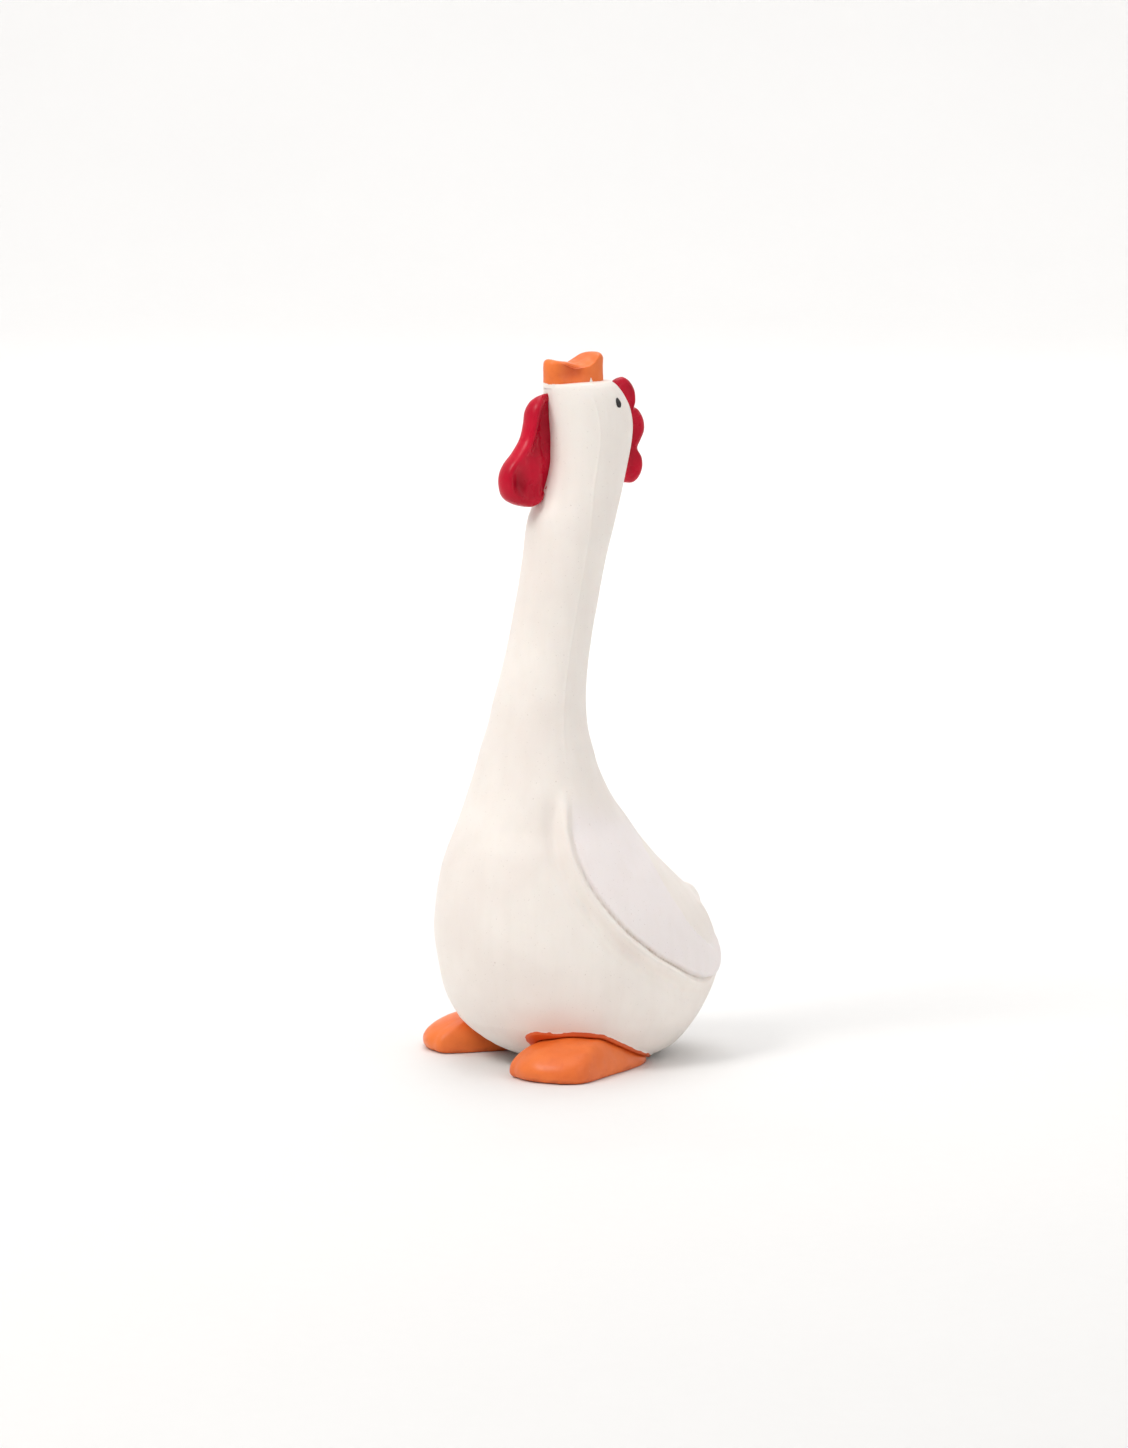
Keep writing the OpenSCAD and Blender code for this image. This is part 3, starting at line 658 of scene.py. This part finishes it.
# %% Eyes laid on the skin
skin_tree = tree_of(neck)
EYE_Z, EYE_DEG, EYE_LEAN = 223.4, 26.5, math.radians(-24)
EYE_HALF_W, EYE_HALF_H, HEAD_R = 1.22, 1.72, 14.5
# Share of the outline against height above the skin, from the hidden edge to the middle
DAB_PROFILE = [
    (1.06, -0.15), (1.04, 0.0), (1.0, 0.1), (0.95, 0.17), (0.85, 0.22), (0.7, 0.25), (0.5, 0.24), (0.3, 0.21),
    (0.14, 0.2),
]


def eye_dab(name, side):
    """A dab of paint laid on the skin, on the left for side 1 and on the right for side -1."""
    turn = np.linspace(0, 2 * np.pi, 64, endpoint=False)
    wob = 1 + 0.05 * np.sin(3 * turn + 1) + 0.03 * np.sin(5 * turn)
    rings = []
    for f, h in DAB_PROFILE:
        u = EYE_HALF_W * f * wob * np.cos(turn) * (1 - 0.16 * np.sin(turn))
        v = EYE_HALF_H * f * wob * np.sin(turn)
        across = u * math.cos(EYE_LEAN) - v * math.sin(EYE_LEAN)
        up = u * math.sin(EYE_LEAN) + v * math.cos(EYE_LEAN)
        ring = []
        for s, t in zip(across, up):
            z = EYE_Z + t
            deg = EYE_DEG + math.degrees(s / HEAD_R)
            p, q = skin_point(deg, z, 3.0), skin_point(deg, z, 0.0)
            ray = Vector(q - p).normalized()
            hit = skin_tree.ray_cast(Vector(p), ray)
            land = np.array(hit[0] if hit[0] is not None else q)
            ring.append(land - np.array(ray) * h)
        rings.append(ring)
    rings = np.array(rings)
    # Mirroring turns a ring the other way round, so the right side's rings are reversed to face outwards
    if side < 0:
        rings = rings[:, ::-1] * [-1, 1, 1]
    return closed_stack(name, rings)


eyes = [eye_dab("left_eye_dab", 1), eye_dab("right_eye_dab", -1)]
print("eyes:", [len(e.data.polygons) for e in eyes], "faces")

# %% [markdown]
# ## Squeaker
#
# The squeaker is a turned-looking moulded plastic barrel, snapped into a round seat under the belly.
# It follows a rule, so Geometry Nodes turn it: a short profile with softened corners, swept round the upright axis.
# The cap, the reed and its tube are true to size in the CAD, so they stay and only get their finish.

# %% Squeaker housing turned on a lathe
HOUSING_PROFILE = [
    (2.35, 3.1), (2.12, 2.9), (2.1, 2.3), (2.25, 1.98), (2.6, 1.82), (6.0, 1.8), (6.5, 1.83), (6.75, 2.0), (7.05, 2.0),
    (7.3, 1.83), (7.7, 1.8), (9.7, 1.8), (10.2, 1.88), (10.46, 2.12), (10.5, 2.5), (10.4, 2.76), (10.1, 2.89),
    (8.9, 2.9), (8.55, 3.0), (8.5, 3.4), (8.5, 17.2), (8.42, 17.6), (8.15, 17.85), (7.8, 17.88), (7.5, 17.8),
    (7.42, 17.5), (7.4, 5.2), (7.2, 4.4), (6.6, 4.05), (3.7, 4.0), (3.2, 3.9), (2.6, 3.3),
]


def lathe_tree():
    """Geometry Nodes: sweeps the profile that it is given round a ring, then gives the result its finish."""
    tree = bpy.data.node_groups.new("turned_on_a_lathe", "GeometryNodeTree")
    for name, kind in [("Profile", "Geometry"), ("Steps", "Int"), ("Ring Radius", "Float"), ("Finish", "Material")]:
        tree.interface.new_socket(name, in_out="INPUT", socket_type="NodeSocket" + kind)
    tree.interface.new_socket("Turned", in_out="OUTPUT", socket_type="NodeSocketGeometry")
    given, ring, section, sweep, soft, real, finish, result = [tree.nodes.new(kind) for kind in (
        "NodeGroupInput", "GeometryNodeCurvePrimitiveCircle", "GeometryNodeMeshToCurve", "GeometryNodeCurveToMesh",
        "GeometryNodeSetShadeSmooth", "GeometryNodeRealizeInstances", "GeometryNodeSetMaterial", "NodeGroupOutput",
    )]
    for start, out_name, end, in_name in [
        (given, "Steps", ring, "Resolution"), (given, "Ring Radius", ring, "Radius"),
        (given, "Profile", section, "Mesh"), (ring, "Curve", sweep, "Curve"),
        (section, "Curve", sweep, "Profile Curve"), (sweep, "Mesh", soft, "Geometry"),
        (soft, "Geometry", real, "Geometry"), (real, "Geometry", finish, "Geometry"),
        (given, "Finish", finish, "Material"), (finish, "Geometry", result, "Turned"),
    ]:
        tree.links.new(start.outputs[out_name], end.inputs[in_name])
    return tree, {item.name: item.identifier for item in tree.interface.items_tree}


def turned(name, profile, material, steps=96, ring_radius=0.010):
    """A closed profile of (radius, height) pairs in millimetres, turned into a plain mesh object."""
    tree, socket = lathe_tree()
    section = bpy.data.meshes.new(name + "_profile")
    # A swept profile lies with its own x outwards and its own y downwards
    corners = [(r / 1000 - ring_radius, -z / 1000, 0) for r, z in profile]
    section.from_pydata(corners, [(i, (i + 1) % len(corners)) for i in range(len(corners))], [])
    obj = bpy.data.objects.new(name, section)
    bpy.context.scene.collection.objects.link(obj)
    nodes = obj.modifiers.new("lathe", "NODES")
    nodes.node_group = tree
    nodes[socket["Steps"]], nodes[socket["Ring Radius"]], nodes[socket["Finish"]] = steps, ring_radius, material
    plain = bpy.data.meshes.new_from_object(obj.evaluated_get(bpy.context.evaluated_depsgraph_get()))
    obj.modifiers.remove(nodes)
    obj.data = plain
    bm = bmesh.new()
    bm.from_mesh(plain)
    bmesh.ops.recalc_face_normals(bm, faces=bm.faces)
    bm.to_mesh(plain)
    bm.free()
    return obj


plastic = bpy.data.materials.new("squeaker_plastic")
squeaker_barrel = turned("squeaker_barrel", HOUSING_PROFILE, plastic)
barrel_area = sum(p.area for p in squeaker_barrel.data.polygons) * 1e6
print("squeaker barrel surface:", round(barrel_area), "square mm")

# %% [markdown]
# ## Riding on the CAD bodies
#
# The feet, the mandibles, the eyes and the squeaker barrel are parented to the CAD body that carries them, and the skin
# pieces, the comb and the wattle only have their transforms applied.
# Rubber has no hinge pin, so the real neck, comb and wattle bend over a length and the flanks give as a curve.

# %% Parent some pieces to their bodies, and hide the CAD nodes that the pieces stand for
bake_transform(left_belly)
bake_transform(right_belly)
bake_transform(neck)
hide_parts("torso_shell", "left_wing", "tail")
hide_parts("right_wing")
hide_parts("head_shell")
for foot, node in zip(feet.values(), ("left_foot", "right_foot")):
    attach(foot, "torso")
    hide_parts(node)
for lobe, node in zip(beak_parts.values(), ("lower_beak", "upper_beak")):
    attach(lobe, "head")
    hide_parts(node)
for eye, node in zip(eyes, ("left_eye", "right_eye")):
    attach(eye, "head")
    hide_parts(node)
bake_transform(comb)
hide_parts("comb")
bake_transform(wattle)
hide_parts("wattle")
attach(squeaker_barrel, "torso")
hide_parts("squeaker_housing")
print("pieces placed")

# %% [markdown]
# ## Finishes
#
# The toy is white latex with three brushed-on paints, and each finish is a small tree of nodes in object space.
# Object coordinates suit it, because every piece shares one origin and a pattern runs on over a join.
# The paint lines come from the lap stored on the skin's points, roughened with a little noise.

# %% A small helper for node trees
class Tree:
    """Adds nodes to a material and joins them in one call."""

    def __init__(self, name, material=None):
        self.material = material or bpy.data.materials.new(name)
        self.material.use_nodes = True
        self.nodes = self.material.node_tree.nodes
        self.links = self.material.node_tree.links
        self.shader = self.nodes["Principled BSDF"]
        self.place = self.nodes.new("ShaderNodeTexCoord").outputs["Object"]

    def add(self, kind, settings=None, **inputs):
        node = self.nodes.new("ShaderNode" + kind)
        for key, value in (settings or {}).items():
            setattr(node, key, value)
        for key, value in inputs.items():
            numbered = key[0] == "i" and key[1:].isdigit()
            self.feed(node.inputs[int(key[1:]) if numbered else key.replace("_", " ")], value)
        return node

    def feed(self, socket, value):
        if isinstance(value, bpy.types.NodeSocket):
            self.links.new(value, socket)
        elif isinstance(value, bpy.types.Node):
            self.links.new(value.outputs[0], socket)
        else:
            socket.default_value = value

    def noise(self, scale, detail=3.0, rough=0.5, vector=None):
        place = vector or self.place
        return self.add("TexNoise", Vector=place, Scale=scale, Detail=detail, Roughness=rough).outputs["Fac"]

    def math(self, op, a, b=0.0, c=0.0):
        return self.add("Math", {"operation": op}, i0=a, i1=b, i2=c).outputs[0]

    def span(self, value, low, high, to_low=0.0, to_high=1.0, kind="SMOOTHSTEP"):
        settings = {"interpolation_type": kind, "clamp": True}
        return self.add("MapRange", settings, i0=value, i1=low, i2=high, i3=to_low, i4=to_high).outputs[0]

    def mix(self, fac, a, b):
        node = self.add("Mix", {"data_type": "RGBA"}, Factor=fac)
        self.feed(node.inputs[6], a)
        self.feed(node.inputs[7], b)
        return node.outputs[2]

    def stored(self, key):
        return self.add("Attribute", {"attribute_name": key}).outputs["Fac"]

    def bump(self, height, strength, depth_mm, under=None):
        node = self.add("Bump", Height=height, Strength=strength, Distance=depth_mm / 1000)
        if under is not None:
            self.feed(node.inputs["Normal"], under)
        return node.outputs["Normal"]


def paint_colour(red, green, blue):
    """A finish colour given the way a paint card gives it, from 0 to 255, as the linear value a shader takes."""
    linear = [((v / 255 + 0.055) / 1.055) ** 2.4 if v > 10 else v / 255 / 12.92 for v in (red, green, blue)]
    return (*linear, 1.0)


print("node helper ready")

# %% [markdown]
# ## Brushed paints
#
# The orange was brushed on thick: it is satin and slightly streaky, and painted shade darkens it in its hollows.
# One recipe makes the orange and the red, because they are the same kind of paint.
# It is written once as a function and used by the painted pieces and by the skin.

# %% The paint recipe: colour and roughness from layered noise
# Each paint is a pair, its colour in light and its colour in shade: random drifts mix the two, and painted shade pulls
# towards the second
ORANGE = (paint_colour(243, 124, 54), paint_colour(220, 94, 34))
RED = (paint_colour(203, 8, 46), paint_colour(166, 0, 32))


def brushed(tree, light, dark, stored_shade=None):
    """Colour of a brushed coat: broad drifts, fine streaks and painted shade in the hollows, from a stored value."""
    drift = tree.noise(55, 2, 0.5)
    streak = tree.noise(420, 4, 0.6)
    depth = tree.math("ADD", tree.span(drift, 0.35, 0.7, 0, 0.55), tree.span(streak, 0.45, 0.8, 0, 0.25))
    # Painted shade: the stored value pulls the coat towards its dark colour
    if stored_shade is not None:
        depth = tree.math("ADD", depth, tree.math("MULTIPLY", tree.stored(stored_shade), 0.7))
    return tree.mix(tree.span(depth, 0, 1, 0, 1, "LINEAR"), light, dark)


def satin(tree, base, low, high):
    """Roughness that wanders a little over the coat."""
    tree.feed(tree.shader.inputs["Roughness"], tree.span(tree.noise(140, 3, 0.55), 0.3, 0.7, low, high))
    tree.feed(tree.shader.inputs["Base Color"], base)


def rubber_bump(tree, under=None, wave=0.55):
    """Fine pebbling with a slow waviness under it."""
    slow = tree.bump(tree.noise(85, 2, 0.5), wave, 0.55, under)
    return tree.bump(tree.noise(900, 3, 0.6), 0.35, 0.07, slow)


def lay_on(tree, base, low, high, gloss, pieces, wave=0.55):
    """Colour, roughness, relief and gloss of a coat, laid on its pieces."""
    satin(tree, base, low, high)
    tree.feed(tree.shader.inputs["Normal"], rubber_bump(tree, None, wave))
    tree.shader.inputs["Specular IOR Level"].default_value = gloss
    for piece in pieces:
        piece.data.materials.append(tree.material)


print("orange:", [round(v, 3) for v in ORANGE[0]], "red:", [round(v, 3) for v in RED[0]])

# %% Orange on the feet, darker in patches along the bottom
feet_paint = Tree("orange_paint")
coat = brushed(feet_paint, *ORANGE)
sole_mask = feet_paint.span(feet_paint.stored("worn"), 0.15, 0.9)
sole_darkening = feet_paint.math("MULTIPLY", sole_mask, feet_paint.span(feet_paint.noise(240, 3, 0.6), 0.4, 0.62))
coat = feet_paint.mix(feet_paint.math("MULTIPLY", sole_darkening, 0.6), coat, paint_colour(196, 84, 40))
speck = feet_paint.span(feet_paint.noise(620, 1, 0.4), 0.73, 0.78)
coat = feet_paint.mix(feet_paint.math("MULTIPLY", speck, 0.35), coat, paint_colour(250, 150, 96))
lay_on(feet_paint, coat, 0.34, 0.46, 0.42, feet.values())
print("feet painted")

# %% Orange on the beak, down to its uneven lower edge
beak_paint = Tree("beak_paint")
edge_noise = beak_paint.span(beak_paint.noise(600, 2), 0.3, 0.7, -0.22, 0.22)
covered = beak_paint.span(beak_paint.math("ADD", beak_paint.stored("paint"), edge_noise), -0.12, 0.12)
# The pinch on the beak's sides is darkened by painted shade
coat = beak_paint.mix(covered, paint_colour(247, 240, 233), brushed(beak_paint, *ORANGE, stored_shade="dip"))
lay_on(beak_paint, coat, 0.36, 0.48, 0.42, beak_parts.values())
print("beak painted")

# %% Red on the comb and the wattle
crest_paint = Tree("red_paint")
# The comb's dish and the wattle's groove, dimple and root get painted shade
lay_on(crest_paint, brushed(crest_paint, *RED, stored_shade="dip"), 0.24, 0.36, 0.22, (comb, wattle), 0.3)
print("crests painted")

# %% [markdown]
# ## White latex
#
# Cast latex is a warm, faintly pink white with a soft glow, because light goes a millimetre into it.
# Fine specks of dirt and faint upright bands, left by the mould's release powder, keep it from looking like plaster.

# %% White latex with the painted laps
latex = Tree("white_latex")
cloudy = latex.span(latex.noise(30, 3, 0.55), 0.3, 0.7)
tint = latex.mix(cloudy, paint_colour(247, 240, 233), paint_colour(240, 231, 224))
tint = latex.mix(latex.math("MULTIPLY", latex.stored("wing"), 0.75), tint, paint_colour(244, 236, 236))
stretch = latex.add("Mapping", Vector=latex.place, Scale=(1.0, 1.0, 0.08)).outputs[0]
bands = latex.span(latex.noise(260, 3, 0.6, stretch), 0.42, 0.66)
tint = latex.mix(latex.math("MULTIPLY", bands, 0.09), tint, paint_colour(228, 218, 208))
dust = latex.span(latex.noise(1500, 2, 0.5), 0.68, 0.74)
tint = latex.mix(latex.math("MULTIPLY", dust, 0.3), tint, paint_colour(186, 172, 162))
# Painted shade along the wing's crease, a brownish grey
crease_shade_mix = latex.math("MULTIPLY", latex.stored("dirt"), latex.span(latex.noise(200, 3, 0.6), 0.35, 0.6, 0.25, 0.75))
tint = latex.mix(crease_shade_mix, tint, paint_colour(196, 172, 150))
pores = latex.add("TexVoronoi", Vector=latex.place, Scale=115.0, Randomness=1.0).outputs["Distance"]
tint = latex.mix(latex.span(pores, 0.022, 0.042, 0.32, 0.0), tint, paint_colour(186, 168, 152))
print("bare latex mixed")

# %% Laps of orange and red on the latex, and its gloss
edge_noise = latex.span(latex.noise(260, 2, 0.5), 0.25, 0.75, -0.25, 0.25)
on_orange = latex.span(latex.math("ADD", latex.stored("orange"), edge_noise), -0.08, 0.08)
on_red = latex.span(latex.math("ADD", latex.stored("red"), latex.math("MULTIPLY", edge_noise, 0.3)), -0.06, 0.06)
# The orange lap on the belly takes the darker orange, as painted shade on the rim above the feet
tint = latex.mix(on_orange, tint, brushed(latex, ORANGE[1], paint_colour(206, 84, 34)))
tint = latex.mix(on_red, tint, brushed(latex, *RED))
latex.feed(latex.shader.inputs["Base Color"], tint)
painted = latex.math("MAXIMUM", on_orange, on_red)
dull = latex.span(latex.noise(120, 3, 0.55), 0.3, 0.7, 0.42, 0.54)
latex.feed(latex.shader.inputs["Roughness"], latex.math("SUBTRACT", dull, latex.math("MULTIPLY", painted, 0.09)))
lap = latex.bump(painted, 0.35, 0.12)
latex.feed(latex.shader.inputs["Normal"], rubber_bump(latex, lap, 0.28))
latex.shader.inputs["Specular IOR Level"].default_value = 0.35
latex.shader.inputs["Subsurface Weight"].default_value = 0.12
latex.shader.inputs["Subsurface Radius"].default_value = (1.0, 0.6, 0.45)
latex.shader.inputs["Subsurface Scale"].default_value = 0.0018
for piece in (left_belly, right_belly, neck):
    piece.data.materials.append(latex.material)
print("white latex done")

# %% [markdown]
# ## Black gloss and squeaker plastic
#
# The eyes are enamel, much glossier than the rest, with the ripple of a dab that dried as it fell.
# The squeaker is a milky polythene that shows fine turning rings from its mould, and its reed is thin clear film.

# %% Eyes
black = Tree("black_paint")
sheen_drift = black.mix(black.noise(500, 2), paint_colour(9, 8, 10), paint_colour(24, 20, 24))
satin(black, sheen_drift, 0.08, 0.16)
black.feed(black.shader.inputs["Normal"], black.bump(black.noise(420, 2, 0.5), 0.5, 0.18))
for eye in eyes:
    eye.data.materials.append(black.material)
print("eyes painted")

# %% Squeaker plastic and reed film
milky = Tree("squeaker_plastic", plastic)
ripple = {"wave_type": "RINGS", "rings_direction": "Z"}
turning = milky.add("TexWave", ripple, Vector=milky.place, Scale=420.0, Distortion=0.6).outputs["Fac"]
haze = milky.mix(milky.noise(160, 3), paint_colour(226, 224, 214), paint_colour(206, 203, 190))
satin(milky, milky.mix(milky.math("MULTIPLY", turning, 0.1), haze, paint_colour(190, 186, 172)), 0.28, 0.42)
grain = milky.bump(milky.noise(700, 2), 0.25, 0.05)
milky.feed(milky.shader.inputs["Normal"], milky.bump(turning, 0.2, 0.05, grain))

film = Tree("reed_film")
satin(film, film.mix(film.noise(300, 3), paint_colour(214, 208, 178), paint_colour(188, 180, 146)), 0.2, 0.34)
film.feed(film.shader.inputs["Normal"], film.bump(film.noise(900, 2), 0.3, 0.03))
for node, finish in [("squeaker_cap", milky), ("reed_tube", milky), ("reed_collar", milky), ("reed", film)]:
    for obj in [o for o in bpy.data.objects if o.name.startswith(node) and o.type == "MESH"]:
        for slot in obj.material_slots:
            slot.material = finish.material
        print("finish on", obj.name, len(obj.material_slots), "slots")

# %% [markdown]
# ## Floor, light and camera
#
# A pale floor that curves up all round, like a very wide bowl, gives an even background with no horizon from any side.
# One large light high on one side models the forms, a weaker one opens the shadows and a third lights the floor.

# %% Floor
FLAT_R, COVE_R, RIM_Z = 2.6, 1.4, 4.0
floor_rows = [(r, 0.0) for r in np.linspace(0.0, FLAT_R, 12)[1:]]
floor_rows += [(FLAT_R + COVE_R * math.sin(a), COVE_R * (1 - math.cos(a))) for a in np.linspace(0, math.pi / 2, 40)[1:]]
floor_rows.append((FLAT_R + COVE_R, RIM_Z))
turn = np.linspace(0, 2 * np.pi, 96, endpoint=False)
floor_points = [(r * math.cos(a), r * math.sin(a), z) for r, z in floor_rows for a in turn]
floor_faces = [list(f)[::-1] for f in ring_faces(len(floor_rows), len(turn))]
floor_faces += [list(range(len(turn)))]
floor_mesh = bpy.data.meshes.new("floor")
floor_mesh.from_pydata(floor_points, [], floor_faces)
floor_mesh.polygons.foreach_set("use_smooth", np.ones(len(floor_mesh.polygons), bool))
floor = bpy.data.objects.new("floor", floor_mesh)
bpy.context.scene.collection.objects.link(floor)
paper = Tree("floor_paper")
satin(paper, paper.mix(paper.noise(2.2, 3), paint_colour(238, 237, 236), paint_colour(232, 231, 230)), 0.55, 0.65)
paper.feed(paper.shader.inputs["Normal"], paper.bump(paper.noise(900, 2), 0.1, 0.05))
floor_mesh.materials.append(paper.material)

# %% Lights and world
bpy.context.scene.view_settings.view_transform = "Standard"
world = bpy.data.worlds.new("studio")
bpy.context.scene.world = world
world.use_nodes = True
world.node_tree.nodes["Background"].inputs["Color"].default_value = (1.0, 1.0, 1.0, 1)
world.node_tree.nodes["Background"].inputs["Strength"].default_value = 0.78
aim = Vector((-0.00232, -0.00386, 0.11365))
az, el = math.radians(59.0), math.radians(8.5)  # The camera's place round the toy and above it
back = Vector((math.sin(az) * math.cos(el), -math.cos(az) * math.cos(el), math.sin(el)))
right = Vector((math.cos(az), math.sin(az), 0))
above = Vector((0, 0, 1))


def soft_light(name, place, size, power, colour=(1, 1, 1)):
    light = bpy.data.lights.new(name, "AREA")
    light.shape, light.size, light.energy, light.color = "DISK", size, power, colour
    obj = bpy.data.objects.new(name, light)
    bpy.context.scene.collection.objects.link(obj)
    obj.location = place
    obj.rotation_euler = (Vector(place) - aim).to_track_quat("Z", "Y").to_euler()
    return obj


soft_light("key_light", aim - right * 0.75 + back * 0.55 + above * 0.95, 0.5, 7.5, (1.0, 0.985, 0.96))
soft_light("fill_light", aim + right * 1.0 + back * 0.7 + above * 0.5, 0.9, 2.0, (0.96, 0.98, 1.0))
soft_light("top_light", aim + above * 1.5 - back * 0.3, 1.2, 5.0)
backdrop = soft_light("backdrop_light", aim - back * 1.2 + above * 1.9, 1.6, 34.0)
past_toy = aim - back * 3.1 + above * 0.5
backdrop.rotation_euler = (backdrop.location - past_toy).to_track_quat("Z", "Y").to_euler()
print("lights ready")

# %% Camera
DISTANCE, LENS_MM = 2.5, 183.5
camera_data = bpy.data.cameras.new("camera")
camera_data.lens, camera_data.sensor_width, camera_data.sensor_fit = LENS_MM, 36.0, "AUTO"
camera_data.clip_start, camera_data.clip_end = 0.05, 50.0
camera = bpy.data.objects.new("camera", camera_data)
bpy.context.scene.collection.objects.link(camera)
camera.location = aim + back * DISTANCE
camera.rotation_euler = back.to_track_quat("Z", "Y").to_euler()
bpy.context.scene.camera = camera
print("camera at", [round(v, 3) for v in camera.location])
